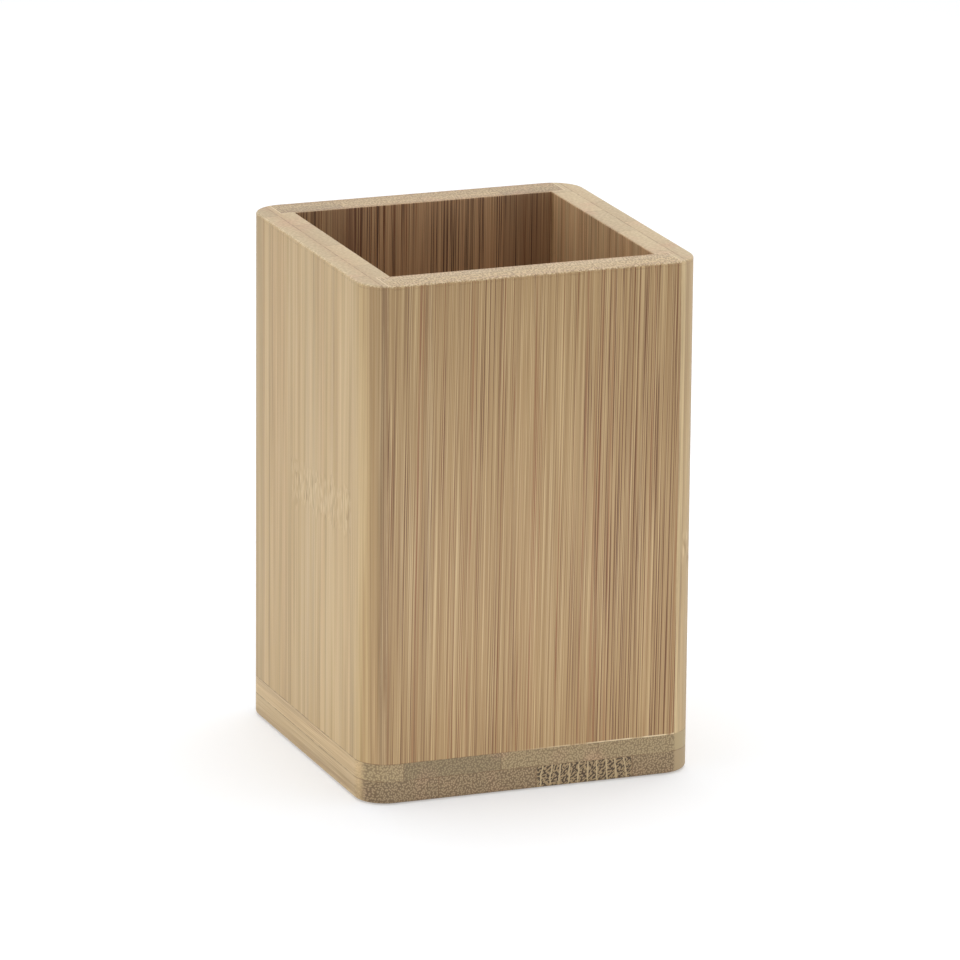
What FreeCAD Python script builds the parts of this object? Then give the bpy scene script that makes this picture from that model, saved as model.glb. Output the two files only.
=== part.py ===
import FreeCAD, Part
import math
import os
import Sketcher

# Square toothbrush tumbler of laminated bamboo: four wall boards glued together on a base board.
# Each board is two plies of bamboo strips laid side by side, and each strip is a piece of its own.
# The front and back boards are let into rabbets in the side boards.
# The glued-up holder is then rounded at its corners and sanded at its edges.
# Origin: middle of the underside. +Z is up, -Y is the front and +X is the right-hand side.

# Driving sizes in millimetres
SIZES = {
    # Outside of the holder
    "outside_width": 73.0,
    "wall_height": 101.0,
    "corner_radius": 6.7,
    # Edges sanded after the glue-up: outside of the rim, inside of the rim, underside
    "rim_ease": 0.5,
    "mouth_ease": 0.3,
    "foot_ease": 0.8,
    # Plies of a wall board: the side boards have the thin one outside, the front and back the thick one
    "thin_ply": 3.5,
    "thick_ply": 4.3,
    # Depth that the ends of the front and back boards are let into the side boards
    "rabbet_depth": 3.1,
    # Plies of the base board
    "base_lower_ply": 4.8,
    "base_upper_ply": 3.7,
    # Strips cut through at the front and back edges of each ply of the side boards
    "left_wall_outer_first": 9.4,
    "left_wall_outer_last": 9.9,
    "left_wall_inner_first": 18.3,
    "left_wall_inner_last": 18.9,
    "right_wall_outer_first": 17.3,
    "right_wall_outer_last": 19.9,
    "right_wall_inner_first": 9.9,
    "right_wall_inner_last": 9.4,
    # Strips cut through at the left and right edges of each ply of the other boards
    "front_wall_outer_first": 9.4,
    "front_wall_outer_last": 18.4,
    "front_wall_inner_first": 18.0,
    "front_wall_inner_last": 9.8,
    "back_wall_outer_first": 13.3,
    "back_wall_outer_last": 14.5,
    "back_wall_inner_first": 14.1,
    "back_wall_inner_last": 13.7,
    "base_lower_first": 16.1,
    "base_lower_last": 14.1,
    "base_upper_first": 8.4,
    "base_upper_last": 21.8,
}

# Full strips that fill each ply between its first and its last
full_strip_counts = {
    "left_wall_outer_count": 3,
    "left_wall_inner_count": 2,
    "right_wall_outer_count": 2,
    "right_wall_inner_count": 3,
    "front_wall_outer_count": 2,
    "front_wall_inner_count": 2,
    "back_wall_outer_count": 2,
    "back_wall_inner_count": 2,
    "base_lower_count": 2,
    "base_upper_count": 2,
}

# The strips fill the holder to within this share of its volume
volume_error_share = 1e-6

# Lengths that follow from the sizes, as expressions
WIDTH = "sizes.outside_width"
HEIGHT = "sizes.wall_height"
HALF = "sizes.outside_width / 2"
WALL = "(sizes.thin_ply + sizes.thick_ply)"
BASE = "(sizes.base_lower_ply + sizes.base_upper_ply)"
INNER = f"({HALF} - {WALL})"
JOINT = f"({INNER} + sizes.rabbet_depth)"

# Axes that strips lie side by side along
ALONG_X = 0
ALONG_Y = 1

doc = FreeCAD.newDocument("toothbrush_holder")


def fill_sheet():
    """The driving sizes, one row each: the name and the number, with the name as alias."""
    sheet = doc.addObject("Spreadsheet::Sheet", "sizes")
    for row, (name, number) in enumerate(SIZES.items(), start=1):
        sheet.set(f"A{row}", name)
        sheet.set(f"B{row}", str(number))
        sheet.setAlias(f"B{row}", name)
    doc.recompute()


def draw_outline(body, name, corners, level):
    """A closed outline of straight lines in plan, at a level, with every corner held by expressions."""
    plane = next(item for item in body.Origin.OriginFeatures if item.Role == "XY_Plane")
    sketch = body.newObject("Sketcher::SketchObject", name)
    sketch.AttachmentSupport = [(plane, "")]
    sketch.MapMode = "FlatFace"
    sketch.setExpression("AttachmentOffset.Base.z", level)
    # The lines start as a polygon of unit radius, and the corners' expressions pull them to size
    turn = 2 * math.pi / len(corners)
    start = [FreeCAD.Vector(math.cos(turn * i), math.sin(turn * i), 0) for i in range(len(corners))]
    for index, point in enumerate(start):
        sketch.addGeometry(Part.LineSegment(start[index - 1], point), False)
    for index, (point, corner) in enumerate(zip(start, corners)):
        following = (index + 1) % len(corners)
        sketch.addConstraint(Sketcher.Constraint("Coincident", index, 2, following, 1))
        for kind, number, expression in zip(("DistanceX", "DistanceY"), point, corner):
            held = sketch.addConstraint(Sketcher.Constraint(kind, -1, 1, index, 2, number))
            sketch.setExpression(f"Constraints[{held}]", expression)
    return sketch


def pad_outline(name, corners, level, height):
    """A body padded up from an outline in plan."""
    body = doc.addObject("PartDesign::Body", name)
    outline = draw_outline(body, f"{name}_outline", corners, level)
    pad = body.newObject("PartDesign::Pad", f"{name}_pad")
    pad.Profile = outline
    pad.setExpression("Length", height)
    doc.recompute()
    return body


def round_edges(body, name, radius, edges):
    """Rounds the given edges of the body."""
    base = body.Tip
    numbered = enumerate(base.Shape.Edges, start=1)
    fillet = body.newObject("PartDesign::Fillet", name)
    fillet.Base = (base, [f"Edge{i}" for i, edge in numbered if any(edge.isSame(item) for item in edges)])
    fillet.setExpression("Radius", radius)
    doc.recompute()


def square_about_origin(half):
    """The corners of a square, anticlockwise."""
    return [(f"-{half}", f"-{half}"), (half, f"-{half}"), (half, half), (f"-{half}", half)]


def end_face(body, pick):
    """The level face at one end of the body: the lowest with min, the highest with max."""
    return pick(body.Tip.Shape.Faces, key=lambda face: face.CenterOfMass.z)


def shape_block():
    """The form that the glued-up holder is worked to, outside and inside."""
    block = pad_outline("shaped_block", square_about_origin(HALF), "0", f"{BASE} + {HEIGHT}")
    uprights = [edge for edge in block.Tip.Shape.Edges if edge.BoundBox.ZLength > edge.Length / 2]
    round_edges(block, "round_corners", "sizes.corner_radius", uprights)
    round_edges(block, "ease_foot", "sizes.foot_ease", end_face(block, min).Edges)
    uncut = block.Shape.Volume
    outline = draw_outline(block, "mouth_outline", square_about_origin(INNER), BASE)
    mouth = block.newObject("PartDesign::Pocket", "mouth")
    mouth.Profile = outline
    mouth.Type = "ThroughAll"
    mouth.Reversed = True
    doc.recompute()
    if block.Shape.Volume >= uncut:
        raise RuntimeError("the mouth cuts nothing")
    round_edges(block, "ease_rim", "sizes.rim_ease", end_face(block, max).OuterWire.Edges)
    rim = end_face(block, max)
    mouth_edges = [edge for wire in rim.Wires if not wire.isSame(rim.OuterWire) for edge in wire.Edges]
    round_edges(block, "ease_mouth", "sizes.mouth_ease", mouth_edges)
    return block


def cut_board(block, name, plan, level, height):
    """A board cut to its plan and worked to the form of the glued-up holder."""
    board = doc.addObject("Part::Common", name)
    board.Base = pad_outline(f"{name}_blank", plan, level, height)
    board.Tool = block
    doc.recompute()
    return board


def lay_strips(board, ply, low, size, along):
    """Strips side by side through one ply of a board, worked to its form.

    The first and the last have their own widths, and the full strips between them share the rest.
    """
    key = f"{board.Name}_{ply}"
    count = full_strip_counts[f"{key}_count"]
    full = f"(({size[along]}) - sizes.{key}_first - sizes.{key}_last) / {count}"
    joints = [f"sizes.{key}_first + {index} * {full}" for index in range(count + 1)]
    strips = []
    for number, (begin, end) in enumerate(zip(["0", *joints], [*joints, size[along]]), start=1):
        name = f"{key}_strip_{number}"
        lane = doc.addObject("Part::Box", f"{name}_lane")
        for axis, letter, side in zip(range(3), "xyz", ("Length", "Width", "Height")):
            place = f"{low[axis]} + ({begin})" if axis == along else low[axis]
            reach = f"({end}) - ({begin})" if axis == along else size[axis]
            lane.setExpression(f"Placement.Base.{letter}", place)
            lane.setExpression(side, reach)
        strip = doc.addObject("Part::Common", name)
        strip.Label = name
        strip.Base = board
        strip.Tool = lane
        strips.append(strip)
    doc.recompute()
    return strips


def check_pieces(block, strips):
    """Every object is sound, every strip is one solid, and together they are the whole holder."""
    for item in doc.Objects:
        if "Invalid" in item.State or "Error" in item.State:
            raise RuntimeError(f"{item.Label} did not compute")
    for strip in strips:
        if strip.Shape.isNull() or not strip.Shape.isValid() or len(strip.Shape.Solids) != 1:
            raise RuntimeError(f"{strip.Label} is not one sound solid")
    missing = block.Shape.Volume - sum(strip.Shape.Volume for strip in strips)
    if abs(missing) > volume_error_share * block.Shape.Volume:
        raise RuntimeError(f"the strips miss {missing} of the holder's volume")


fill_sheet()
block = shape_block()

# Plans of the boards: a side board has a rabbet at each end, for the end of the front or back board
right_plan = [(HALF, f"-{HALF}"), (HALF, HALF), (JOINT, HALF), (JOINT, INNER),
              (INNER, INNER), (INNER, f"-{INNER}"), (JOINT, f"-{INNER}"), (JOINT, f"-{HALF}")]
left_plan = [(f"-{x}", y) for x, y in right_plan]
back_plan = [(f"-{JOINT}", INNER), (JOINT, INNER), (JOINT, HALF), (f"-{JOINT}", HALF)]
front_plan = [(x, f"-{y}") for x, y in back_plan]

left_wall = cut_board(block, "left_wall", left_plan, BASE, HEIGHT)
right_wall = cut_board(block, "right_wall", right_plan, BASE, HEIGHT)
front_wall = cut_board(block, "front_wall", front_plan, BASE, HEIGHT)
back_wall = cut_board(block, "back_wall", back_plan, BASE, HEIGHT)
base = cut_board(block, "base", square_about_origin(HALF), "0", BASE)

# Plies before the strips divide them: width along X, depth along Y and height
side_outer = ("sizes.thin_ply", WIDTH, HEIGHT)
side_inner = ("sizes.thick_ply", WIDTH, HEIGHT)
face_outer = (f"2 * {JOINT}", "sizes.thick_ply", HEIGHT)
face_inner = (f"2 * {JOINT}", "sizes.thin_ply", HEIGHT)
base_lower = (WIDTH, WIDTH, "sizes.base_lower_ply")
base_upper = (WIDTH, WIDTH, "sizes.base_upper_ply")

# Low corners of the plies
left_outer_low = (f"-{HALF}", f"-{HALF}", BASE)
left_inner_low = (f"-{INNER} - sizes.thick_ply", f"-{HALF}", BASE)
right_outer_low = (f"{HALF} - sizes.thin_ply", f"-{HALF}", BASE)
right_inner_low = (INNER, f"-{HALF}", BASE)
front_outer_low = (f"-{JOINT}", f"-{HALF}", BASE)
front_inner_low = (f"-{JOINT}", f"-{INNER} - sizes.thin_ply", BASE)
back_outer_low = (f"-{JOINT}", f"{HALF} - sizes.thick_ply", BASE)
back_inner_low = (f"-{JOINT}", INNER, BASE)
base_lower_low = (f"-{HALF}", f"-{HALF}", "0")
base_upper_low = (f"-{HALF}", f"-{HALF}", "sizes.base_lower_ply")

# Each ply: its board, its name, its low corner, its size and the axis across its strips
plies = [
    (left_wall, "outer", left_outer_low, side_outer, ALONG_Y),
    (left_wall, "inner", left_inner_low, side_inner, ALONG_Y),
    (right_wall, "outer", right_outer_low, side_outer, ALONG_Y),
    (right_wall, "inner", right_inner_low, side_inner, ALONG_Y),
    (front_wall, "outer", front_outer_low, face_outer, ALONG_X),
    (front_wall, "inner", front_inner_low, face_inner, ALONG_X),
    (back_wall, "outer", back_outer_low, face_outer, ALONG_X),
    (back_wall, "inner", back_inner_low, face_inner, ALONG_X),
    (base, "lower", base_lower_low, base_lower, ALONG_X),
    (base, "upper", base_upper_low, base_upper, ALONG_X),
]
strips = [strip for ply in plies for strip in lay_strips(*ply)]

check_pieces(block, strips)
os.makedirs("parts", exist_ok=True)
for strip in strips:
    strip.Shape.exportStep(f"parts/{strip.Label}.step")
print(f"{len(strips)} strips, {sum(strip.Shape.Volume for strip in strips):.1f} cubic mm of bamboo")
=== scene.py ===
# %% [markdown]
# # A toothbrush holder of laminated bamboo
# The holder is a plain square cup. Four boards stand on a square base, and every board is two plies of
# flat bamboo strips, glued side by side. The side boards have a rabbet at each end that takes the front
# and the back board, so a slim lip of end strip shows at both edges of the front.
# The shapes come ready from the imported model, one mesh for each strip. Blender could build the cup again,
# but the strips are already true to size and smooth, so this lesson spends its work on what the eye reads
# as bamboo: the fibres, the end grain, the knuckles, the glue lines and the thin coat of lacquer.

# %% Load the strips
import functools
import math
from collections import namedtuple

import bpy
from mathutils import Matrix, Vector


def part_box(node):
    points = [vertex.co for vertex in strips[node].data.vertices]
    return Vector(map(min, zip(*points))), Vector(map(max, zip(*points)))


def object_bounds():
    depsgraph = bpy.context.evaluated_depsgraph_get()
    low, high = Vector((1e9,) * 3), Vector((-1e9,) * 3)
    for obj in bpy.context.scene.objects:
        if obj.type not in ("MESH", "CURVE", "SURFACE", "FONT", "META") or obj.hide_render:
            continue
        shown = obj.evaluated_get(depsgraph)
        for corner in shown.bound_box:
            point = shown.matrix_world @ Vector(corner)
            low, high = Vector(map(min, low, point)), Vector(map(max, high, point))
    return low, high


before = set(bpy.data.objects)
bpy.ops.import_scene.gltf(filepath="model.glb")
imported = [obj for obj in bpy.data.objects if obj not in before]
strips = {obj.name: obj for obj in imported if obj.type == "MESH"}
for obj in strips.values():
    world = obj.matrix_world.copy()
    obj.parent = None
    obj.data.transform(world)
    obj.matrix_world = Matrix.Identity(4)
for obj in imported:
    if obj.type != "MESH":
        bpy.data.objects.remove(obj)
cad_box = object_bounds()
PER_METRE = 1000  # millimetres in one of Blender's metres
size_mm = (cad_box[1] - cad_box[0]) * PER_METRE
print(len(strips), "strips in a box of", [round(side, 2) for side in size_mm], "mm")

# %% [markdown]
# ## Two helpers
# Colours are picked as sRGB hex values, as on a screen, but a shader works with linear light. One
# function turns the first into the second, and can make the tone a little lighter or darker on the way.
# A shader is a tree of nodes. The second function adds one node of any kind, sets its properties, and
# fills its sockets, in order or by name, with values or with whatever feeds them. Every material below is
# written with it.

# %% Colours and nodes
LOW_SRGB = 0.04045  # below this level the sRGB curve is a straight line


def linear(hex_colour, gain=1.0):
    """A hex colour as linear RGBA, its light multiplied by gain."""
    shares = [int(hex_colour[place:place + 2], 16) / 255 for place in (1, 3, 5)]
    light = [c / 12.92 if c < LOW_SRGB else ((c + 0.055) / 1.055) ** 2.4 for c in shares]
    return (*(gain * c for c in light), 1.0)


def add_node(tree, kind, sockets=(), **settings):
    """Adds one shader node. A socket takes a plain value, or the node or output that feeds it."""
    node = tree.nodes.new("ShaderNode" + kind)
    for name, setting in settings.items():
        setattr(node, name, setting)
    live = [socket for socket in node.inputs if socket.enabled]
    filled = sockets.items() if isinstance(sockets, dict) else enumerate(sockets)
    for key, value in filled:
        socket = node.inputs[key] if isinstance(key, str) else live[key]
        if isinstance(value, bpy.types.Node):
            value = next(output for output in value.outputs if output.enabled)
        if isinstance(value, bpy.types.NodeSocket):
            tree.links.new(value, socket)
        else:
            socket.default_value = value
    return node


print("mid grey #808080 is", round(linear("#808080")[0], 3), "in linear light")

# %% [markdown]
# ## Where the strips meet
# A glue line shows as a hair of darker brown where two strips meet. Drawing each by hand would be long,
# and wrong as soon as a strip changed width. The boxes of the strips say it all: where a point just
# outside the middle of a strip's side lies inside another strip, that side is glued.

# %% Find the glued sides
JUST_OUTSIDE = 0.2  # mm
boxes = {name: [corner * PER_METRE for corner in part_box(name)] for name in strips}


def inside(point, corners):
    """Whether the point lies between the two corners of a box."""
    return all(low < place < high for place, low, high in zip(point, *corners))


def glued_sides(name):
    """(axis, place in mm) of each side of the strip that lies against another strip."""
    low, high = boxes[name]
    sides = []
    for axis in range(3):
        for place, step in ((low[axis], -JUST_OUTSIDE), (high[axis], JUST_OUTSIDE)):
            point = (low + high) / 2
            point[axis] = place + step
            if any(inside(point, corners) for other, corners in boxes.items() if other != name):
                sides.append((axis, place))
    return sides


glue = {name: glued_sides(name) for name in strips}
print(sum(len(sides) for sides in glue.values()), "glued sides found")

# %% [markdown]
# ## The plies
# A strip is sawn from the wall of the cane. Towards the bark the bundles of fibres crowd together and the
# wood is darker and redder, and towards the pith it is pale and plain. The maker laid the front and the
# back with the bark side out, so these faces are closely lined, and the side boards with the pith side
# out, so those are calm and pale.
# This list says it for each ply, with its colours along the grain and across it, how strongly its lines
# and its bands show, how far its fibres lean, in degrees, and how light each of its strips is beside the
# others. Strips of one board come from several canes, and a board of one even tone would look printed.
# The inside of the right board is painted lighter, as painted light that falls into the cup over the left
# rim, and the two end strips inside the back are darker, as painted shade in the back corners of the cup.

# %% List the plies
LOW, HIGH = 0, 1  # the side of the ply, along its thickness, that was nearest to the bark
THICKNESS_AXIS = {"left": 0, "right": 0, "front": 1, "back": 1, "base": 2}
Ply = namedtuple("Ply", "bark pith_tone bark_tone pith_end bark_end fibre lines bands lean gains")
plies = {
    "left_wall_outer": Ply(HIGH, "#c4a673", "#6b4f32", "#bfa983", "#b89d77", "#876532", 1.9, 1.0, 0.2,
                           (0.97, 1.02, 0.98, 1.0, 0.87)),
    "left_wall_inner": Ply(LOW, "#c6a374", "#866a46", "#bfa983", "#b89d77", "#7d5a38", 1.2, 1.0, 0.3,
                           (0.97, 1.05, 0.95, 1.02)),
    "right_wall_outer": Ply(LOW, "#b5996b", "#ae9065", "#c1ac87", "#bba37e", "#86653c", 0.9, 0.8, 0.2,
                            (1.0, 1.05, 0.96, 1.03)),
    # painted light: the inside of the right board is lighter, pith and bark alike, for the light that falls
    # into the cup
    "right_wall_inner": Ply(LOW, "#c8b083", "#d2ab80", "#c1ac87", "#bba37e", "#6a452a", 1.8, 1.4, 0.3,
                            (1.0, 1.05, 0.96, 1.05, 0.98)),
    "front_wall_outer": Ply(LOW, "#bd9f71", "#a98a5d", "#c6ae84", "#ba9c74", "#643816", 1.7, 0.12, 0.7,
                            (0.97, 1.0, 1.02, 1.02)),
    "front_wall_inner": Ply(HIGH, "#bd9f71", "#c29b6c", "#c6af89", "#ba9d78", "#623d24", 1.4, 0.6, 0.6,
                            (1.0, 0.95, 1.05, 1.0)),
    "back_wall_outer": Ply(HIGH, "#bd9f71", "#a98a5d", "#b8a17a", "#a98b67", "#643816", 1.7, 0.12, -0.5,
                           (0.97, 1.02, 1.0, 0.96)),
    # painted shade: the end strips are darker, for the shade in the back corners of the cup
    "back_wall_inner": Ply(LOW, "#bd9f71", "#bd9672", "#b8a17a", "#a98b67", "#452f1f", 2.7, 0.25, 0.3,
                           (0.86, 1.08, 1.08, 0.86)),
    "base_lower": Ply(LOW, "#caaf82", "#c1a376", "#a08a67", "#9a8463", "#86653c", 1.0, 0.8, 0.3,
                      (0.96, 0.98, 1.0, 1.0)),
    "base_upper": Ply(HIGH, "#c7ac7f", "#bfa377", "#a6926c", "#a28d67", "#86653c", 1.0, 0.8, -0.4,
                      (1.1, 0.79, 1.02, 1.0)),
}
busy_strips = {  # strips with lines stronger than their ply's
    "front_wall_outer_strip_4": 1.8,
    "left_wall_outer_strip_1": 1.1,
}


def board_of(name):
    """The board that a strip belongs to."""
    return name.split("_")[0]


def thickness_axis(name):
    """The axis, from 0 to 2, along which a strip's board is thin."""
    return THICKNESS_AXIS[board_of(name)]


def ply_name(name):
    """The name of the ply that a strip belongs to."""
    return name.split("_strip_")[0]


def ply_of(name):
    """The strip's entry in the list of plies."""
    return plies[ply_name(name)]


def strip_gain(name):
    """How light a strip is beside the others of its ply."""
    return ply_of(name).gains[int(name.split("_strip_")[1]) - 1]


lightness = [strip_gain(name) for name in strips]
print(len(plies), "plies, with strips from", min(lightness), "to", max(lightness), "times as light")

# %% [markdown]
# ## Knuckles
# A cane is closed by a wall at every knuckle, and a strip that is sawn there keeps the scar: a band about
# a centimetre tall where the fibres swerve and slim pale and dark flecks stand staggered. The left board
# has one across two of its strips, and a small one shows on the slim lip at the right of the front. A
# picture of a scar would fit one face only, so the scar is a solid band like the fibres: a height along
# the fibres and a slope across the strip.

# %% Place the knuckles
KNUCKLE_HALF = 6.0  # mm from the middle of the scar to its edge
KNUCKLE_CORE = 1.5  # mm from the middle to where it starts to fade
KNUCKLE_WANDER = 5.0  # mm, how unevenly the edge of the scar runs
WANDER_WIDTH = 2.9  # mm over which the edge runs up and down
knuckles = {  # height along the fibres in mm, and its slope across the strip
    "left_wall_outer_strip_2": (57.6, -0.105),
    "left_wall_outer_strip_3": (58.4, -0.105),
    "right_wall_outer_strip_1": (49.5, 0.05),
}


def knuckle_share(add, straight, name):
    """1 in the middle of the strip's knuckle, 0 a few millimetres above and below it."""
    level, slope = knuckles[name]
    *sides, along = add("SeparateXYZ", [straight]).outputs
    across = sides[1 if thickness_axis(name) == 0 else 0]
    middle = add("Math", (across, slope, level), operation="MULTIPLY_ADD")
    uneven = add("TexNoise", {"Vector": straight, "Scale": 1 / WANDER_WIDTH, "Detail": 1.0})
    wander = add("MapRange", (uneven, 0, 1, -KNUCKLE_WANDER / 2, KNUCKLE_WANDER / 2))
    height = add("Math", (along, middle), operation="SUBTRACT")
    away = add("Math", [add("Math", (height, wander), operation="ADD")], operation="ABSOLUTE")
    return add("MapRange", (away, KNUCKLE_HALF, KNUCKLE_CORE, 0, 1), interpolation_type="SMOOTHSTEP")


print(len(knuckles), "strips hold a knuckle")

# %% [markdown]
# ## A space that follows the fibres
# Bamboo fibres run the length of the cane, so they stand upright in the walls and lie from front to back
# in the base. Object coordinates, in millimetres, are turned so that Z is always along the fibres. A slow
# noise then pushes the fibres aside by a fraction of a millimetre, because real ones are never ruled
# lines, and at a knuckle they swerve.
# A flat image would need a seam at each edge. A solid pattern, cut by every face, has none: it runs on
# over the rounded edges and corners of a strip, as in the real material.

# %% The fibre space
DRIFT_WIDTH, DRIFT_LENGTH = 10.0, 110.0  # mm over which the fibres wander
DRIFT = 0.5  # mm, the most that a fibre is pushed aside
SWERVE_WIDTH, SWERVE_LENGTH = 3.0, 7.0  # mm over which they swerve at a knuckle
SWERVE = 0.4  # mm, the most that a fibre swerves there


def steps(across, along):
    """Steps of a pattern in a millimetre, for a pattern so many millimetres wide and long."""
    return (1 / across, 1 / across, 1 / along)


def part_space(add):
    """Places on the part in millimetres."""
    return add("VectorMath", (add("TexCoord").outputs["Object"], PER_METRE), operation="SCALE")


def straight_space(add, place, name):
    """The same places, turned so that Z is along the strip's fibres."""
    lean = math.radians(ply_of(name).lean)
    turns = {0: (lean, 0, 0), 1: (0, -lean, 0), 2: (math.radians(90), lean, 0)}
    return add("Mapping", {"Vector": place, "Rotation": turns[thickness_axis(name)]})


def fibre_space(add, straight, shift, scar=None):
    """Straight places pushed aside as the fibres wander, and more where there is the scar of a knuckle."""
    slow = add("Mapping", {"Vector": straight, "Location": shift, "Scale": steps(DRIFT_WIDTH, DRIFT_LENGTH)})
    push = add("TexNoise", {"Vector": slow, "Scale": 1.0, "Detail": 1.0}).outputs["Color"]
    bent = add("VectorMath", (push, (DRIFT, DRIFT, 0), straight), operation="MULTIPLY_ADD")
    if scar is None:
        return bent
    quick = add("Mapping", {"Vector": straight, "Scale": steps(SWERVE_WIDTH, SWERVE_LENGTH)})
    turn = add("TexNoise", {"Vector": quick, "Scale": 1.0, "Detail": 1.0}).outputs["Color"]
    reach = add("Math", (scar, SWERVE), operation="MULTIPLY")
    return add("VectorMath", (turn, add("CombineXYZ", (reach, reach, 0)), bent), operation="MULTIPLY_ADD")


print("fibres wander by up to", DRIFT, "mm, and swerve by up to", SWERVE, "mm more at a knuckle")

# %% [markdown]
# ## One strip as its shader sees it
# Each strip is another piece of cane, so its patterns are read from another place. What the later steps
# need to know of a strip is kept together here: its ply, its tone beside its neighbours, its places in
# each space, how near each place is to the bark, and its knuckle if it has one.

# %% Cut a strip from the cane
STRIP_STEP = Vector((6.17, 2.39, 4.73))  # steps of each pattern from one strip's piece of cane to the next
BARK_RISE = 2.5  # power by which the bundles crowd towards the bark
Cut = namedtuple("Cut", "name ply gain shift place straight fibres bark scar")


def bark_share(add, place, name):
    """0 at the pith side of the strip's ply, rising ever faster to 1 at its bark side."""
    axis = thickness_axis(name)
    edges = [corner[axis] for corner in boxes[name]]
    if ply_of(name).bark == LOW:
        edges.reverse()
    through = add("MapRange", (add("SeparateXYZ", [place]).outputs[axis], *edges, 0, 1))
    return add("Math", (through, BARK_RISE), operation="POWER")


def cut_strip(add, name, number):
    """All that the later steps need to know of one strip."""
    shift = number * STRIP_STEP
    place = part_space(add)
    straight = straight_space(add, place, name)
    scar = knuckle_share(add, straight, name) if name in knuckles else None
    fibres = fibre_space(add, straight, shift, scar)
    bark = bark_share(add, place, name)
    return Cut(name, ply_of(name), strip_gain(name), shift, place, straight, fibres, bark, scar)


print("halfway through a ply the share of bark is", round(0.5 ** BARK_RISE, 2))

# %% [markdown]
# ## Fibres and streaks
# Two sizes of pattern line the face of a strip. The vascular bundles are dark threads about 0.2 mm thick:
# cells of a flat Voronoi pattern that the face cuts lengthwise, some through the middle and some near the
# edge, so that strong and faint lines alternate. Between them lie finer streaks of pale and darker pith.
# These are noise, drawn out along the fibres, and so are the broader patterns of the next steps.

# %% Patterns along the fibres
BUNDLE_SPACING = 0.36  # mm
BUNDLE_STRAY = 0.8  # 0 for bundles in even rows, 1 for no order
BUNDLE_EDGE, BUNDLE_CORE = 0.34, 0.06  # shares of the spacing, where a bundle starts and is darkest
BOLD_CHANCES = (0.2, 0.9)  # a bundle's random share, where it is faintest and where it is boldest
FAINT_BUNDLE = 0.4  # how strongly the faintest bundle shows
STREAK_WIDTH, STREAK_LENGTH = 0.14, 60.0  # mm
FAR = 1000.0  # mm, so long that a pattern doesn't change along the fibres


def bundles(add, cut):
    """How much of a dark bundle each place holds, and a random share that belongs to the bundle."""
    spacing = steps(BUNDLE_SPACING, FAR)
    cells = add("Mapping", {"Vector": cut.fibres, "Location": cut.shift, "Scale": spacing})
    pattern = {"Vector": cells, "Scale": 1.0, "Randomness": BUNDLE_STRAY}
    cell = add("TexVoronoi", pattern, voronoi_dimensions="2D")
    chances = add("SeparateColor", [cell.outputs["Color"]]).outputs
    thread = add("MapRange", (cell, BUNDLE_EDGE, BUNDLE_CORE, 0, 1), interpolation_type="SMOOTHSTEP")
    bold = add("MapRange", (chances[0], *BOLD_CHANCES, FAINT_BUNDLE, 1), interpolation_type="SMOOTHSTEP")
    return add("Math", (thread, bold), operation="MULTIPLY"), chances[1]


def strands(add, cut, width, length, detail=1.0):
    """Strands of random strength, from 0 to 1, so many millimetres wide and long."""
    drawn = add("Mapping", {"Vector": cut.fibres, "Location": cut.shift, "Scale": steps(width, length)})
    return add("TexNoise", {"Vector": drawn, "Scale": 1.0, "Detail": detail})


print("bundles", BUNDLE_SPACING, "mm apart, streaks", STREAK_WIDTH, "mm wide")

# %% [markdown]
# ## Veins that the eye remembers
# Some lines stand out: a broad dark seam where two strips meet, a reddish thread near an edge, a shaded
# edge. They make a board this one and not another, so on the front, on the left and on the inside of the
# back they are placed one by one, each with its place across the board and its half width in millimetres,
# its strength and its tone.
# The shaded edge is painted shade, and the two broad dark veins on the inside of the back are partly dark
# strips of the wood and partly painted shade inside the cup.

# %% Place the veins
RED, BROWN, DEEP, WARM = "#8c5730", "#866440", "#5e3b28", "#b09066"  # tones
Vein = namedtuple("Vein", "place half strength tone")
veins = {
    "front_wall_outer": [
        Vein(-31.5, 0.7, 0.35, BROWN), Vein(-29.6, 0.3, 0.4, BROWN), Vein(-26.0, 0.4, 0.7, RED),
        Vein(-25.3, 0.3, 0.5, RED), Vein(-24.1, 0.3, 0.5, BROWN), Vein(-22.2, 0.4, 0.6, BROWN),
        Vein(-17.7, 0.3, 0.5, BROWN), Vein(-14.5, 0.4, 0.6, RED), Vein(-8.8, 0.3, 0.5, BROWN),
        Vein(-4.9, 1.0, 0.3, BROWN), Vein(-0.9, 0.35, 0.6, RED), Vein(3.5, 0.3, 0.4, BROWN),
        Vein(10.3, 0.35, 0.6, RED), Vein(12.6, 0.35, 0.6, RED), Vein(13.6, 0.4, 0.7, RED),
        Vein(16.0, 0.35, 0.6, RED), Vein(20.0, 0.35, 0.5, BROWN), Vein(25.0, 0.35, 0.6, RED),
        Vein(29.5, 3.6, 0.2, BROWN), Vein(31.0, 0.4, 0.6, RED)],
    "left_wall_outer": [
        Vein(-36.7, 0.6, 0.35, BROWN), Vein(-34.6, 1.9, 0.65, WARM), Vein(-35.7, 0.5, 0.5, WARM),
        Vein(-34.3, 0.3, 0.4, BROWN), Vein(-32.8, 0.4, 0.3, RED), Vein(-30.9, 0.3, 0.25, BROWN),
        Vein(-27.4, 0.3, 0.25, RED), Vein(10.4, 0.4, 0.3, BROWN), Vein(22.5, 0.5, 0.4, BROWN),
        Vein(25.9, 0.8, 0.4, RED)],
    # the two broad veins here are partly dark strips of the wood and partly painted shade inside the cup
    "back_wall_inner": [
        Vein(-15.8, 3.8, 0.75, DEEP), Vein(23.0, 8.5, 0.35, DEEP), Vein(-6.5, 0.5, 0.5, DEEP),
        Vein(0.4, 0.5, 0.5, DEEP), Vein(5.0, 0.4, 0.5, DEEP), Vein(10.5, 0.6, 0.5, DEEP)],
}


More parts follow.
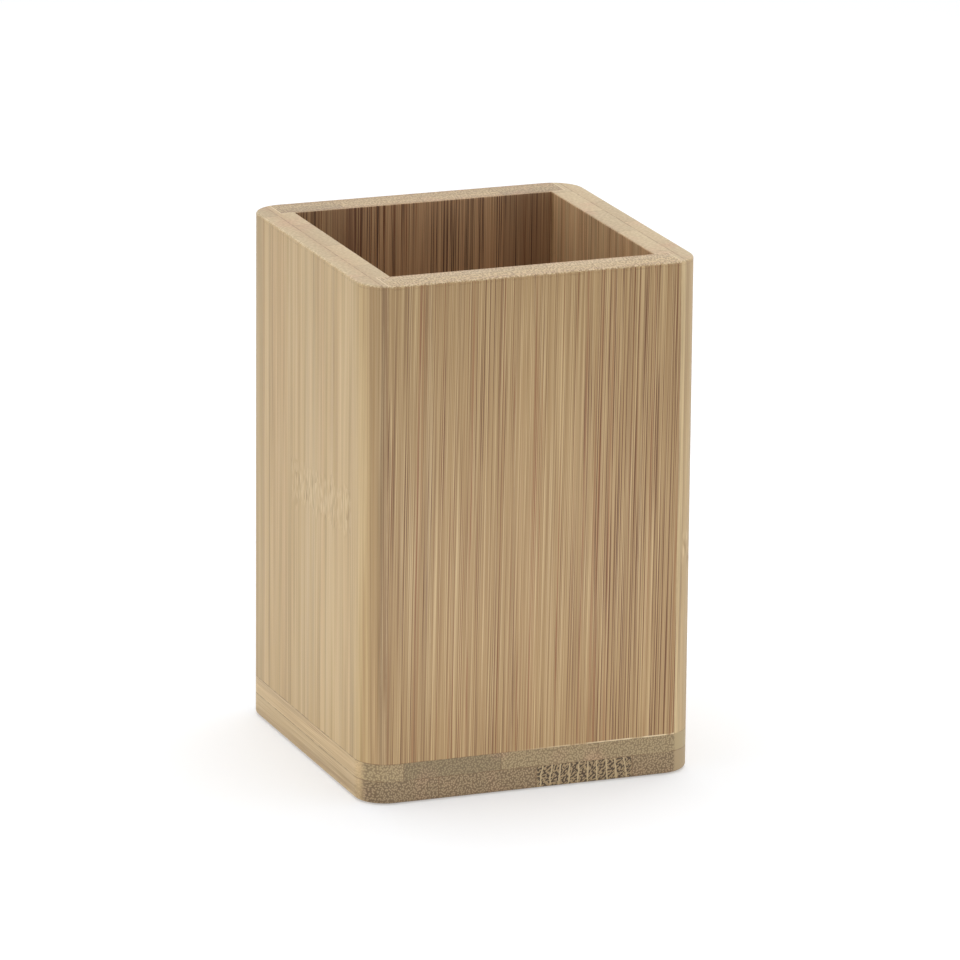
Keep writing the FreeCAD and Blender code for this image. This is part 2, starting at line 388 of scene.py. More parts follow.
def veined(add, cut, face, fade):
    """The face with the strip's own veins drawn over it, each fading in places."""
    axis = 1 if thickness_axis(cut.name) == 0 else 0
    across = add("SeparateXYZ", [cut.fibres]).outputs[axis]
    low, high = (corner[axis] for corner in boxes[cut.name])
    for vein in veins.get(ply_name(cut.name), ()):
        if low - vein.half < vein.place < high + vein.half:
            beside = add("Math", (across, vein.place), operation="SUBTRACT")
            away = add("Math", [beside], operation="ABSOLUTE")
            line = add("MapRange", (away, vein.half, 0, 0, vein.strength), interpolation_type="SMOOTHSTEP")
            share = add("Math", (line, fade), operation="MULTIPLY")
            face = add("Mix", (share, face, linear(vein.tone)), data_type="RGBA")
    return face


print(sum(len(placed) for placed in veins.values()), "veins on", len(veins), "plies")

# %% [markdown]
# ## The ground of a face
# Under the lines the wood itself changes tone. It goes from pale pith to darker bark, and along it run
# bands a few millimetres wide, cooler where the cane stayed green longer and warmer where it ripened
# first. Lighter and darker shades lie between them, and each shade is split into ever finer ones, so that
# no width repeats.

# %% Tint the ground
BAND_WIDTH, BAND_LENGTH = 3.4, 150.0  # mm
COOL_BAND, WARM_BAND = "#bfa57d", "#c29e70"
COOL_LEVELS, WARM_LEVELS = (0.5, 0.75), (0.5, 0.25)  # of the noise, where a band starts and is full
SHADE_WIDTH, SHADE_LENGTH = 2.2, 80.0  # mm
SHADE_DETAIL = 3.0  # times that a shade is split into others half as wide and half as long
LIGHT_LEVELS, SHADY_LEVELS = (0.5, 0.7), (0.5, 0.3)  # of the noise, where a shade starts and is full
BAND_SHARE, SHADE_SHARE = 0.5, 0.4  # how strongly bands and shades tint the ground
PALE_STREAK = "#dcc294"


def tinted_ground(add, cut):
    """The ground of a face, from pith to bark, with its bands and shades."""
    ply, gain = cut.ply, cut.gain
    most_band, most_shade = BAND_SHARE * ply.bands, SHADE_SHARE * ply.bands
    pith, bark = linear(ply.pith_tone, gain), linear(ply.bark_tone, gain)
    ground = add("Mix", (cut.bark, pith, bark), data_type="RGBA")
    band = strands(add, cut, BAND_WIDTH, BAND_LENGTH)
    cool = add("MapRange", (band, *COOL_LEVELS, 0, most_band), interpolation_type="SMOOTHSTEP")
    cooled = add("Mix", (cool, ground, linear(COOL_BAND, gain)), data_type="RGBA")
    warm = add("MapRange", (band, *WARM_LEVELS, 0, most_band), interpolation_type="SMOOTHSTEP")
    warmed = add("Mix", (warm, cooled, linear(WARM_BAND, gain)), data_type="RGBA")
    shade = strands(add, cut, SHADE_WIDTH, SHADE_LENGTH, SHADE_DETAIL)
    light = add("MapRange", (shade, *LIGHT_LEVELS, 0, most_shade))
    lit = add("Mix", (light, warmed, linear(PALE_STREAK, gain)), data_type="RGBA")
    shady = add("MapRange", (shade, *SHADY_LEVELS, 0, most_shade))
    return add("Mix", (shady, lit, linear(ply.fibre, gain)), data_type="RGBA")


print("bands", BAND_WIDTH, "mm and shades", SHADE_WIDTH, "mm wide")

# %% [markdown]
# ## Flecks of a knuckle
# In the scar of a knuckle short ends of fibre lie beside each other, some pale and some dark. They are
# cells of a Voronoi pattern that is stretched along the fibres. The random colour of each cell says which
# of the two it is.

# %% Fleck the knuckles
FLECK_WIDTH, FLECK_LENGTH = 0.45, 3.2  # mm
FLECK_EDGE, FLECK_CORE = 0.55, 0.2  # shares of the spacing: where a fleck starts, and where it is full
FLECK_PALE, FLECK_DARK, FLECK_SHARE = "#dcc699", "#8c6838", 0.7
PALE_CHANCES = (0.45, 0.55)  # a fleck's random share, up to which it is dark and from which it is pale


def flecked(add, cut, face):
    """The face with the pale and dark flecks of a knuckle."""
    cells = add("Mapping", {"Vector": cut.straight, "Scale": steps(FLECK_WIDTH, FLECK_LENGTH)})
    cell = add("TexVoronoi", {"Vector": cells, "Scale": 1.0})
    chance = add("SeparateColor", [cell.outputs["Color"]]).outputs[0]
    fleck = add("MapRange", (cell, FLECK_EDGE, FLECK_CORE, 0, FLECK_SHARE), interpolation_type="SMOOTHSTEP")
    share = add("Math", (fleck, cut.scar), operation="MULTIPLY")
    is_pale = add("MapRange", (chance, *PALE_CHANCES, 0, 1))
    tone = add("Mix", (is_pale, linear(FLECK_DARK), linear(FLECK_PALE)), data_type="RGBA")
    return add("Mix", (share, face, tone), data_type="RGBA")


print("flecks", FLECK_WIDTH, "by", FLECK_LENGTH, "mm")

# %% [markdown]
# ## A face along the fibres
# The patterns are laid over each other: pale streaks lighten the ground, dark streaks and threads line
# it, and the veins come last of the lines, so that nothing veils them. Lines are weaker on the pith side.
# They also crowd together in places and thin out in others, and a thread fades and comes back along its
# way. Where the strip holds a knuckle, its flecks cover the lines.

# %% Colour along the grain
STREAK_SHARE = 0.56  # how strongly a streak shows
PALE_LEVELS, DARK_LEVELS = (0.5, 0.74), (0.48, 0.26)  # of the noise, where a streak starts and is full
PITH_LINES = 0.4  # how strongly lines show at the pith side, as a share of the bark side
CROWD_WIDTH, CROWD_LENGTH = 2.6, 60.0  # mm over which lines crowd together and thin out
CROWD_LEVELS = (0.38, 0.6)  # of the noise, where lines are thinnest and where they crowd
CALM_LINES = 0.45  # how strongly lines show where they are thinnest, as a share of where they crowd
FADE_WIDTH, FADE_LENGTH = 0.35, 24.0  # mm over which a line fades and comes back
FADE_LEVELS = (0.32, 0.58)  # of the noise, where a line is faintest and where it is whole
FADED = 0.15  # how strongly the faintest line shows
RED_FIBRE = "#94592c"  # bundles that turned red
RED_CHANCES, MOST_RED = (0.5, 0.9), 0.7  # a bundle's random share, where red starts and where it is full


def long_grain(add, cut, streak, thread, thread_red):
    """The colour of a face that runs along the fibres."""
    ply, gain = cut.ply, cut.gain
    ground = tinted_ground(add, cut)
    pale = add("MapRange", (streak, *PALE_LEVELS, 0, STREAK_SHARE), interpolation_type="SMOOTHSTEP")
    paled = add("Mix", (pale, ground, linear(PALE_STREAK, gain)), data_type="RGBA")
    lines = ply.lines * busy_strips.get(cut.name, 1.0)
    grown = add("MapRange", (cut.bark, 0, 1, PITH_LINES * lines, lines))
    crowd = add("MapRange", (strands(add, cut, CROWD_WIDTH, CROWD_LENGTH), *CROWD_LEVELS, CALM_LINES, 1))
    strength = add("Math", (grown, crowd), operation="MULTIPLY")
    dark = add("MapRange", (streak, *DARK_LEVELS, 0, STREAK_SHARE), interpolation_type="SMOOTHSTEP")
    dark_share = add("Math", (dark, strength), operation="MULTIPLY")
    streaked = add("Mix", (dark_share, paled, linear(ply.fibre, gain)), data_type="RGBA")
    redness = add("MapRange", (thread_red, *RED_CHANCES, 0, MOST_RED))
    fibre_tone = add("Mix", (redness, linear(ply.fibre, gain), linear(RED_FIBRE, gain)), data_type="RGBA")
    fade = add("MapRange", (strands(add, cut, FADE_WIDTH, FADE_LENGTH), *FADE_LEVELS, FADED, 1))
    faded = add("Math", (thread, fade), operation="MULTIPLY")
    thread_share = add("Math", (faded, strength), operation="MULTIPLY")
    threaded = add("Mix", (thread_share, streaked, fibre_tone), data_type="RGBA")
    face = veined(add, cut, threaded, fade)
    return face if cut.scar is None else flecked(add, cut, face)


print("lines fade over", FADE_LENGTH, "mm and crowd over", CROWD_WIDTH, "mm")

# %% [markdown]
# ## End grain
# Where a face cuts across the fibres, as on the rim and on the front of the base, the bundles show end
# on. On the rim they are dark dots, longer from pith to bark than across. The base is coarser, and there
# pale grains stand in a net of darker wood. Both are cells of a flat Voronoi pattern: what counts is
# whether the dark lies near the middle of a cell or near its edge. The rim of the side boards shows least
# of it.
# How far the surface faces along the fibres says how much end grain there is, and on a rounded corner
# that fades by itself.

# %% Dots of the end grain
DARK_DOTS, PALE_DOTS = (0.56, 0.2), (0.22, 0.56)  # shares of the spacing, where dark starts and is full
Dots = namedtuple("Dots", "kind width length share tone")  # spacing across, and from pith to bark, in mm
end_dots_of = {
    "left": Dots(DARK_DOTS, 0.5, 0.9, 0.26, "#765436"),
    "right": Dots(DARK_DOTS, 0.5, 0.9, 0.26, "#765436"),
    "front": Dots(DARK_DOTS, 0.45, 0.9, 0.6, "#705034"),
    "back": Dots(DARK_DOTS, 0.45, 0.9, 0.6, "#705034"),
    "base": Dots(PALE_DOTS, 0.42, 0.46, 0.7, "#5a4229"),
}
faint_dots = {"base_upper": 0.75}  # dots fainter than on the board's other ply
WALL_TILTS = (0.45, 0.80)  # how far the surface faces along the fibres where end grain starts and is full
BASE_TILTS = (0.30, 0.60)


def fibre_tilt(add, name):
    """0 where the surface runs along the fibres, and 1 where it cuts straight across them."""
    fibre_way = (0, 1, 0) if board_of(name) == "base" else (0, 0, 1)
    along = add("VectorMath", (add("NewGeometry").outputs["Normal"], fibre_way), operation="DOT_PRODUCT")
    return add("Math", [along], operation="ABSOLUTE")


def end_dots(add, cut):
    """How dark the end of a bundle is at each place, from 0 to 1."""
    dots = end_dots_of[board_of(cut.name)]
    wide, long = 1 / dots.width, 1 / dots.length
    dot_steps = (long, wide, 1) if thickness_axis(cut.name) == 0 else (wide, long, 1)
    cells = add("Mapping", {"Vector": cut.fibres, "Location": cut.shift, "Scale": dot_steps})
    cell = add("TexVoronoi", {"Vector": cells, "Scale": 1.0}, voronoi_dimensions="2D")
    share = dots.share * faint_dots.get(ply_name(cut.name), 1.0)
    return add("MapRange", (cell, *dots.kind, 0, share), interpolation_type="SMOOTHSTEP")


start_angles = [round(math.degrees(math.asin(tilts[0]))) for tilts in (WALL_TILTS, BASE_TILTS)]
print("end grain starts", start_angles, "degrees off the fibres, on walls and base")

# %% [markdown]
# The ground between the dots goes from pith to bark, as along the grain, and has pinkish patches of
# denser cane. One corner of the base is different: at the right of the front the dots stop at a line, and
# the corner beyond is plain and a little lighter.

# %% Colour across the grain
PATCH_TONE, PATCH_SIZE = "#c09a7a", 7.0  # patches of denser cane, and their size in mm
PATCH_LEVELS = (0.5, 0.75)  # of the noise, where a patch starts and is full
PATCH_SHARE = 0.5  # how strongly a full patch shows
PLAIN_FROM = 31.9  # mm to the right, where the plain corner of the base starts
PLAIN_SOFT = 0.25  # mm to each side of that line, over which it starts
PLAIN_GAIN = 1.08  # how much lighter it is than the ground between the dots


def plain_share(add, cut):
    """1 on the plain front corner of the base, 0 elsewhere."""
    x, y = add("SeparateXYZ", [cut.place]).outputs[:2]
    right = add("MapRange", (x, PLAIN_FROM - PLAIN_SOFT, PLAIN_FROM + PLAIN_SOFT, 0, 1))
    at_front = add("Math", (y, 0), operation="LESS_THAN")
    return add("Math", (right, at_front), operation="MULTIPLY")


def end_grain(add, cut):
    """The colour of a face that cuts across the fibres."""
    ply, gain = cut.ply, cut.gain
    pith, bark = linear(ply.pith_end, gain), linear(ply.bark_end, gain)
    ground = add("Mix", (cut.bark, pith, bark), data_type="RGBA")
    noise = add("TexNoise", {"Vector": cut.place, "Scale": 1 / PATCH_SIZE, "Detail": 1.0})
    dense = add("MapRange", (noise, *PATCH_LEVELS, 0, PATCH_SHARE), interpolation_type="SMOOTHSTEP")
    patched = add("Mix", (dense, ground, linear(PATCH_TONE, gain)), data_type="RGBA")
    tone = linear(end_dots_of[board_of(cut.name)].tone, gain)
    dotted = add("Mix", (end_dots(add, cut), patched, tone), data_type="RGBA")
    if board_of(cut.name) != "base":
        return dotted
    plain = linear(ply.pith_end, PLAIN_GAIN)
    return add("Mix", (plain_share(add, cut), dotted, plain), data_type="RGBA")


print("the plain corner is", round(cad_box[1][0] * PER_METRE - PLAIN_FROM, 1), "mm wide")

# %% [markdown]
# ## A knuckle cut across
# One strip of the base was sawn through a knuckle, so its front end shows rows of short dark worms
# between thin pale lines that fan out, a little over 2 mm apart. The pale lines are a zigzag of the place
# across, tipped more and more to the right. The worms are noise, cut off sharply at its middle level.

# %% The cut knuckle
CUT_KNUCKLE = "base_lower_strip_3"
CUT_FROM, CUT_TO = 1.1, 23.4  # mm to the right, the ends of the knuckle
CUT_EDGE = 0.2  # mm to each side of the left end, over which it starts
CUT_SOFT = 1.6  # mm over which the right end fades
FAN = (-0.17, 0.21)  # how far the pale lines tip at the left and at the right end
ROW_SPACING = 2.15  # mm between the pale lines
ROW_LINE, ROW_CORE = 0.24, 0.08  # mm, half the width of a pale line, and of its plain middle
ROW_WAVE, WAVE_WIDTH = 0.7, 2.0  # mm that the lines wander, and over how many mm
ROW_TONE, ROW_SHARE = "#bca67e", 0.9  # the colour of a pale line, and how strongly it shows
WORM_LONG, WORM_THIN, WORM_TURN = 0.58, 0.36, 40.0  # mm, and the degrees that the worms are turned
WORM_LEVELS = (0.55, 0.45)  # of the noise, where a worm starts and is full
WORM_SHARE = 0.95  # how strongly a full worm shows
WORM_TONE, WORM_GROUND = "#3e2c1a", "#9c8560"


def cut_knuckle(add, cut, grain):
    """End grain with the rows of a cut knuckle drawn over it."""
    x, y, z = add("SeparateXYZ", [cut.place]).outputs
    tip = add("MapRange", (x, CUT_FROM, CUT_TO, *FAN))
    tipped = add("Math", (z, tip, x), operation="MULTIPLY_ADD")
    wave = add("TexNoise", {"Vector": cut.place, "Scale": 1 / WAVE_WIDTH, "Detail": 1.0})
    bent = add("Math", (wave, ROW_WAVE, tipped), operation="MULTIPLY_ADD")
    row = add("Math", (bent, ROW_SPACING / 2), operation="PINGPONG")
    pale = add("MapRange", (row, ROW_LINE, ROW_CORE, 0, ROW_SHARE), interpolation_type="SMOOTHSTEP")
    flat = add("CombineXYZ", (x, z, 0))
    turned = add("Mapping", {"Vector": flat, "Rotation": (0, 0, math.radians(WORM_TURN)),
                             "Scale": (WORM_LONG, WORM_THIN, 1)}, vector_type="TEXTURE")
    noise = add("TexNoise", {"Vector": turned, "Scale": 1.0, "Detail": 0.0})
    worm = add("MapRange", (noise, *WORM_LEVELS, 0, WORM_SHARE), interpolation_type="SMOOTHSTEP")
    wormy = add("Mix", (worm, linear(WORM_GROUND), linear(WORM_TONE)), data_type="RGBA")
    lined = add("Mix", (pale, wormy, linear(ROW_TONE)), data_type="RGBA")
    after = add("MapRange", (x, CUT_FROM - CUT_EDGE, CUT_FROM + CUT_EDGE, 0, 1))
    before = add("MapRange", (x, CUT_TO, CUT_TO - CUT_SOFT, 0, 1))
    between = add("Math", (after, before), operation="MULTIPLY")
    at_front = add("Math", (y, 0), operation="LESS_THAN")
    share = add("Math", (between, at_front), operation="MULTIPLY")
    return add("Mix", (share, grain, lined), data_type="RGBA")


print("cut knuckle", round(CUT_TO - CUT_FROM, 1), "mm wide, its pale lines", ROW_SPACING, "mm apart")

# %% [markdown]
# ## Glue lines
# Inside a board the glue shows as a broken hair of brown, plainest on the end grain and over the base.
# The sides found above say where. A noise breaks the hair, because glue squeezes out unevenly.

# %% Draw the glue
GLUE_HALF = 0.11  # mm, half the width of a glue line
GLUE_TONE = "#6f4f31"
FACE_GLUE, END_GLUE, FOOT_GLUE = 0.14, 0.65, 0.6  # strength on faces, on end grain, over the base
GLUE_BREAK = 2.0  # mm between breaks in a glue line
BREAK_LEVELS = (0.35, 0.6)  # of the noise, where a line is broken and where it is whole
BREAK_SHARE = 0.3  # how strongly it shows where it is broken


def glue_share(add, cut, end):
    """How strongly a glue line shows within a hair of a glued side of the strip."""
    places = add("SeparateXYZ", [cut.place]).outputs
    strength = add("MapRange", (end, 0, 1, FACE_GLUE, END_GLUE))
    lines = 0.0
    for axis, where in glue[cut.name]:
        line = add("Math", (places[axis], where, GLUE_HALF), operation="COMPARE")
        shown = add("Math", (line, FOOT_GLUE if axis == 2 else strength), operation="MULTIPLY")
        lines = add("Math", (lines, shown), operation="MAXIMUM")
    noise = add("TexNoise", {"Vector": cut.place, "Scale": 1 / GLUE_BREAK, "Detail": 1.0})
    unbroken = add("MapRange", (noise, *BREAK_LEVELS, BREAK_SHARE, 1))
    return add("Math", (lines, unbroken), operation="MULTIPLY")


print("glue lines", 2 * GLUE_HALF, "mm wide")

# %% [markdown]
# ## Joints between the boards
# Where the boards meet at the corners the rim has a thin pale line, of glue mixed with sanding dust. The
# boxes of the strips say where the front board ends and where the mouth of the cup begins. The corners
# are alike, so one set of mirrored places serves all four.
# At the foot of the front board its edge stands out a little over the base, and a painted highlight along it
# stands for the light that this edge catches, more and more towards the right.

# %% Draw the joints
# PALE_TONE is also the colour of painted highlight, on the worn edges and at the foot of the front board
PALE_TONE = "#e4d0aa"  # glue with sanding dust, and fibres that catch the light
JOINT_HALF, JOINT_SHARE = 0.13, 0.6  # mm, half the width of a corner joint, and how strongly it shows
board_end = boxes["front_wall_outer_strip_4"][1][0]
mouth_side = boxes["back_wall_inner_strip_1"][0][1]
# the painted highlight along the foot of the front board
BRIGHT_JOINT = 0.3  # mm, the bright edge of the front board above the base
BRIGHT_FROM, BRIGHT_TO = -2.0, 16.0  # mm to the right, where it starts and where it is full
BRIGHT_START = 0.1  # how strongly it shows where it starts
BRIGHT_LEVELS = (0.35, 0.55)  # of the noise, where it is faintest and where it is brightest
BRIGHT_SHARES = (0.2, 0.95)  # how strongly it shows there
painted_highlight_strips = ("front_wall_outer_strip_3", "front_wall_outer_strip_4")


def corner_joint_share(add, cut, end):
    """Thin pale lines on the rim around the ends of the front and back boards."""
    mirrored = add("VectorMath", [cut.place], operation="ABSOLUTE")
    x, y = add("SeparateXYZ", [mirrored]).outputs[:2]
    side = add("Math", (x, board_end, JOINT_HALF), operation="COMPARE")
    past_mouth = add("Math", (y, mouth_side), operation="GREATER_THAN")
    beside = add("Math", (side, past_mouth), operation="MULTIPLY")
    front = add("Math", (y, mouth_side, JOINT_HALF), operation="COMPARE")
    on_board = add("Math", (x, board_end), operation="LESS_THAN")
    before = add("Math", (front, on_board), operation="MULTIPLY")
    both = add("Math", (beside, before), operation="MAXIMUM")
    return add("Math", (both, add("MapRange", (end, 0, 1, 0, JOINT_SHARE))), operation="MULTIPLY")


def painted_highlight_share(add, cut):
    """An uneven painted highlight at the foot of the front board."""
    foot = boxes[cut.name][0][2]
    x, _, z = add("SeparateXYZ", [cut.place]).outputs
    edge = add("MapRange", (z, foot + BRIGHT_JOINT, foot + BRIGHT_JOINT / 2, 0, 1))
    growing = add("MapRange", (x, BRIGHT_FROM, BRIGHT_TO, BRIGHT_START, 1))
    noise = add("TexNoise", {"Vector": cut.place, "Scale": 1 / GLUE_BREAK, "Detail": 1.0})
    uneven = add("MapRange", (noise, *BRIGHT_LEVELS, *BRIGHT_SHARES))
    shown = add("Math", (edge, growing), operation="MULTIPLY")
    return add("Math", (shown, uneven), operation="MULTIPLY")


print("corner joints", round(board_end, 2), "and", round(mouth_side, 2), "mm from the middle")

# %% [markdown]
# ## Worn edges and their painted highlight
# Along the outer edge of the rim the fibres are torn short, and the rounded edge faces the overhead light,
# so pale specks show there, with a broken dark hair below. The specks are partly paler torn fibres and
# partly a painted highlight. Modelling each torn fibre would cost far more than it shows. Here the surface's
# own turn, from upright to flat, says where the edge is, and a fine noise breaks it into specks.

# %% Wear the edges and paint their highlight
# the pale specks are worn fibres and, in part, a painted highlight on the rim's edge
WEAR_AND_HIGHLIGHT_SPECK = 0.45  # mm
EDGE_TILTS = (0.1, 0.5)  # how far the surface faces up where the worn edge starts and is full
FLAT_TILTS = (0.999, 0.93)  # how far it faces up where the edge has ended, and where it starts to fade
SPECK_LEVELS = (0.45, 0.62)  # of the noise, where specks are faintest and where they are full
SPECK_SHARES = (0.1, 0.7)  # how strongly they show there
HAIR_DROP, HAIR_HALF = 0.8, 0.16  # mm from the top of the rim down to the dark hair, and half its width
HAIR_LEVELS = (0.45, 0.6)  # of the noise, where the hair starts and is full
HAIR_SHARE = 0.25  # how strongly a full hair shows
rim_top = cad_box[1][2] * PER_METRE


def edge_shares(add, cut, tilt):
    """Pale specks, worn fibres and painted highlight, where the rim turns over into an outer face, and the
    dark hair below them.
    """
    facing = add("NewGeometry").outputs["Normal"]
    sideways = add("VectorMath", (facing, (1, 1, 0)), operation="MULTIPLY")
    outward = add("VectorMath", (sideways, cut.place), operation="DOT_PRODUCT")
    outer = add("Math", (outward, 0), operation="GREATER_THAN")
    noise = add("TexNoise", {"Vector": cut.place, "Scale": 1 / WEAR_AND_HIGHLIGHT_SPECK, "Detail": 2.0})
    turned = add("MapRange", (tilt, *EDGE_TILTS, 0, 1), interpolation_type="SMOOTHSTEP")
    not_flat = add("MapRange", (tilt, *FLAT_TILTS, 0, 1), interpolation_type="SMOOTHSTEP")
    edge = add("Math", (turned, not_flat), operation="MULTIPLY")
    speck = add("MapRange", (noise, *SPECK_LEVELS, *SPECK_SHARES), interpolation_type="SMOOTHSTEP")
    pale = add("Math", (add("Math", (edge, outer), operation="MULTIPLY"), speck), operation="MULTIPLY")
    height = add("SeparateXYZ", [cut.place]).outputs[2]
    hair = add("Math", (height, rim_top - HAIR_DROP, HAIR_HALF), operation="COMPARE")
    broken = add("MapRange", (noise, *HAIR_LEVELS, 0, HAIR_SHARE))
    dark = add("Math", (add("Math", (hair, outer), operation="MULTIPLY"), broken), operation="MULTIPLY")
    return pale, dark


print("the rim is at", round(rim_top, 2), "mm, and its dark hair", HAIR_DROP, "mm below")

# %% [markdown]
# ## The colour of a strip
# Now the layers come together, in the order in which they came about: the grain first, along and across,
# then the glue between strips, then the joints of the boards and the wear of the edges, which only the
# walls have. The pale specks on the edges are partly painted highlight, and the bright line at the foot of
# the front board is a painted highlight.

# %% Put the colour together
def bamboo_colour(add, cut, streak, thread, thread_red):
    """The colour of a strip, with its grain, its glue lines and its edges."""
    tilt = fibre_tilt(add, cut.name)
    on_base = board_of(cut.name) == "base"
    tilts = BASE_TILTS if on_base else WALL_TILTS
    end = add("MapRange", (tilt, *tilts, 0, 1), interpolation_type="SMOOTHSTEP")
    across = end_grain(add, cut)
    if cut.name == CUT_KNUCKLE:
        across = cut_knuckle(add, cut, across)
    along = long_grain(add, cut, streak, thread, thread_red)
    colour = add("Mix", (end, along, across), data_type="RGBA")
    colour = add("Mix", (glue_share(add, cut, end), colour, linear(GLUE_TONE)), data_type="RGBA")
    if on_base:
        return colour
    pale, dark = edge_shares(add, cut, tilt)
    colour = add("Mix", (corner_joint_share(add, cut, end), colour, linear(PALE_TONE)), data_type="RGBA")
    colour = add("Mix", (dark, colour, linear(GLUE_TONE)), data_type="RGBA")
    # pale specks on the rim's edge: worn fibres, and in part a painted highlight
    colour = add("Mix", (pale, colour, linear(PALE_TONE)), data_type="RGBA")
    if cut.name not in painted_highlight_strips:
        return colour
    # a painted highlight along the foot of the front board
    return add("Mix", (painted_highlight_share(add, cut), colour, linear(PALE_TONE)), data_type="RGBA")


wall_strips = [name for name in strips if board_of(name) != "base"]
print(len(wall_strips), "strips also have the joints and edges of a wall")

# %% [markdown]
# ## Lacquered bamboo
# The strips were planed, glued, sanded fine and sprayed with a thin matt lacquer. To the eye that is a
# soft, even sheen with no mirror in it: a plain dielectric with an IOR near 1.5 and a roughness near one
# half. The fibres are a little harder than the pith, so sanding leaves them standing proud by a few
# hundredths of a millimetre. In a knuckle the wood is dense all over and sands almost flat.

# %% Give each strip its bamboo
LACQUER_IOR = 1.5
SMOOTH_FIBRE, ROUGH_PITH = 0.42, 0.52  # roughness
SHEEN_LEVELS = (0.3, 0.7)  # of the streaks' noise, from pith to fibre
GRAIN_RELIEF = 0.00003  # metres that the fibres stand proud
RELIEF, SCAR_RELIEF = 0.6, 0.1  # how strongly that shows on plain wood, and in the middle of a knuckle


def bamboo(name, number):
    """Sanded and lacquered bamboo for one strip."""
    material = bpy.data.materials.new("bamboo_sanded_lacquered_" + name)
    material.use_nodes = True
    material.node_tree.nodes.clear()
    add = functools.partial(add_node, material.node_tree)
    cut = cut_strip(add, name, number)
    streak = strands(add, cut, STREAK_WIDTH, STREAK_LENGTH)
    thread, thread_red = bundles(add, cut)
    colour = bamboo_colour(add, cut, streak, thread, thread_red)
    roughness = add("MapRange", (streak, *SHEEN_LEVELS, ROUGH_PITH, SMOOTH_FIBRE))
    proud = add("Math", (thread, streak), operation="ADD")
    depth = RELIEF if cut.scar is None else add("MapRange", (cut.scar, 0, 1, RELIEF, SCAR_RELIEF))
    relief = add("Bump", {"Height": proud, "Strength": depth, "Distance": GRAIN_RELIEF})
    finish = {"Base Color": colour, "Roughness": roughness, "IOR": LACQUER_IOR, "Normal": relief}
    add("OutputMaterial", {"Surface": add("BsdfPrincipled", finish)})
    return material


for number, name in enumerate(sorted(strips)):
    strips[name].material_slots[0].material = bamboo(name, number)
print(len(strips), "strips have their own bamboo")

# %% [markdown]
# ## The floor
# A product picture like this is shot on a white sweep under large soft lamps. The floor is a plain pale
# plane that keeps a soft shadow. A camera that is set for the bamboo sees so white a floor as nearly pure
# white, so a part of what the camera sees of it is plain white, and the rest is lit and shaded as any
# floor is. The back of the plane is clear, so that the foot of the holder can be seen from below.

# %% Lay the floor
FLOOR_HALF = 3.0  # metres
FLOOR_DROP = 0.0002  # metres under the foot, so that the two faces don't lie in one plane
SEEN_WHITE, SEEN_SHADE = 0.37, 0.76  # plain white, and light and shade, in what the camera sees of the floor
PALE_FLOOR = "#f5f7fa"
WHITE = (1, 1, 1, 1)


def seen_directly(add):
    """1 for what the camera sees, straight or by reflection, and 0 for light that falls on things."""
    path = add("LightPath").outputs
    direct = add("Math", (path["Is Camera Ray"], path["Is Glossy Ray"]), operation="MAXIMUM")
    return add("Math", (direct, path["Is Transmission Ray"]), operation="MAXIMUM")


def white_paper():
    """Matt white paper, which has no sheen, so that only the shadow shows on it."""
    material = bpy.data.materials.new("paper_sweep_white_matt")
    material.use_nodes = True
    material.node_tree.nodes.clear()
    add = functools.partial(add_node, material.node_tree)
    seen = seen_directly(add)
    tone = add("Mix", (seen, linear(PALE_FLOOR), linear(PALE_FLOOR, SEEN_SHADE)), data_type="RGBA")
    paper = add("BsdfDiffuse", {"Color": tone})
    glow = add("Math", (seen, SEEN_WHITE), operation="MULTIPLY")
    top = add("AddShader", (paper, add("Emission", {"Color": WHITE, "Strength": glow})))
    both = add("MixShader", (add("NewGeometry").outputs["Backfacing"], top, add("BsdfTransparent")))
    add("OutputMaterial", {"Surface": both})
    return material


corners = [(x * FLOOR_HALF, y * FLOOR_HALF, -FLOOR_DROP) for x, y in ((-1, -1), (1, -1), (1, 1), (-1, 1))]
floor_mesh = bpy.data.meshes.new("floor")
floor_mesh.from_pydata(corners, [], [(0, 1, 2, 3)])
floor_mesh.materials.append(white_paper())
floor = bpy.data.objects.new("floor", floor_mesh)
scene = bpy.context.scene
scene.collection.objects.link(floor)
print("floor", 2 * FLOOR_HALF, "m wide")

# %% [markdown]
# ## The light
# The light comes from a large softbox overhead, a weaker one at the left that turns the left board into
# the bright side, and cards that send a little light back. Two long cards lie low in front and at the
# left, just outside the picture. They are so near that the foot of the holder gets more of their light
# than the top.

# %% Lamps and world
WORLD_LIGHT = 0.5
SoftLamp = namedtuple("SoftLamp", "place aim width height watts")  # metres, and watts
middle = (cad_box[0] + cad_box[1]) / 2
soft_lamps = {
    "overhead_softbox": SoftLamp((0.09, 0.2, 1.1), middle, 1.0, 1.0, 8.0),
    "left_softbox": SoftLamp((-1.0, 0.1, 0.5), middle, 0.7, 0.7, 1.3),
    "left_card": SoftLamp((-0.19, 0, 0.02), (0, 0, 0.02), 0.2, 0.03, 0.025),
    "front_card": SoftLamp((-0.01, -0.165, 0.012), (-0.01, 0, 0.012), 0.2, 0.02, 0.061),
    "right_card": SoftLamp((1.2, -0.5, 0.12), middle, 0.5, 0.5, 2.5),
}


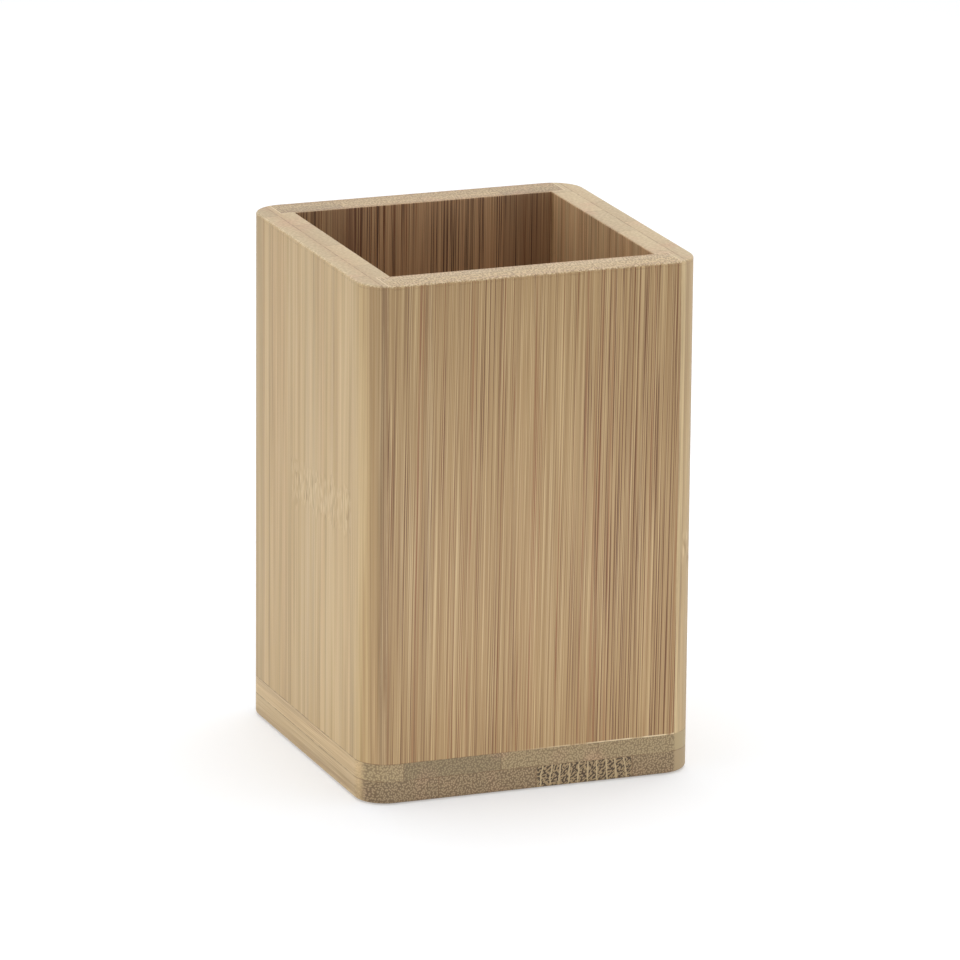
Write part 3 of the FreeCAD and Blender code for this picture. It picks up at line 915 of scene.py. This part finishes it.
def hang(name, lamp):
    """Adds one soft lamp that faces its aim and isn't seen by the camera."""
    light = bpy.data.lights.new(name, "AREA")
    light.shape = "RECTANGLE"
    light.size = lamp.width
    light.size_y = lamp.height
    light.energy = lamp.watts
    holder = bpy.data.objects.new(name, light)
    holder.location = lamp.place
    holder.rotation_euler = (Vector(lamp.aim) - Vector(lamp.place)).to_track_quat("-Z", "Y").to_euler()
    holder.visible_camera = False
    scene.collection.objects.link(holder)


for name, lamp in soft_lamps.items():
    hang(name, lamp)
world = bpy.data.worlds.new("white_studio")
world.use_nodes = True
world.node_tree.nodes.clear()
scene.world = world
add = functools.partial(add_node, world.node_tree)
strength = add("MapRange", (seen_directly(add), 0, 1, WORLD_LIGHT, 1))
add("OutputWorld", {"Surface": add("Background", {"Color": WHITE, "Strength": strength})})
scene.view_settings.view_transform = "Standard"
print("world", WORLD_LIGHT, "and", len(soft_lamps), "soft lamps")

# %% [markdown]
# ## The camera
# The picture was taken with a long lens from well back: the upright edges stay almost parallel. The
# camera's angles were fitted to the corners of the holder. It turns about the upright axis, looks down,
# and leans very slightly.

# %% Set the camera
CAMERA_TURN, CAMERA_DIP, CAMERA_LEAN = -21.0965, 15.804, 0.515  # degrees
CAMERA_DISTANCE = 1.5916  # metres
CAMERA_LENS, SENSOR_WIDTH = 286.28, 36  # mm
AIM = Vector((0.00202, -0.00030, 0.05633))  # metres, the point in the middle of the picture

turn, dip = math.radians(CAMERA_TURN), math.radians(CAMERA_DIP)
back = Vector((math.sin(turn) * math.cos(dip), -math.cos(turn) * math.cos(dip), math.sin(dip)))
lens = bpy.data.cameras.new("camera")
lens.lens = CAMERA_LENS
lens.sensor_width = SENSOR_WIDTH
camera = bpy.data.objects.new("camera", lens)
camera.location = AIM + back * CAMERA_DISTANCE
camera.rotation_euler = (-back).to_track_quat("-Z", "Y").to_euler()
camera.rotation_euler.rotate_axis("Z", math.radians(CAMERA_LEAN))
scene.collection.objects.link(camera)
scene.camera = camera
print("camera at", [round(c, 3) for c in camera.location])

# %% [markdown]
# ## Bringing the scene up to date
# Materials, floor and lamps leave the strips as they came, so the box around the holder is still that of
# the imported model.

# %% Update the scene
bpy.context.view_layer.update()
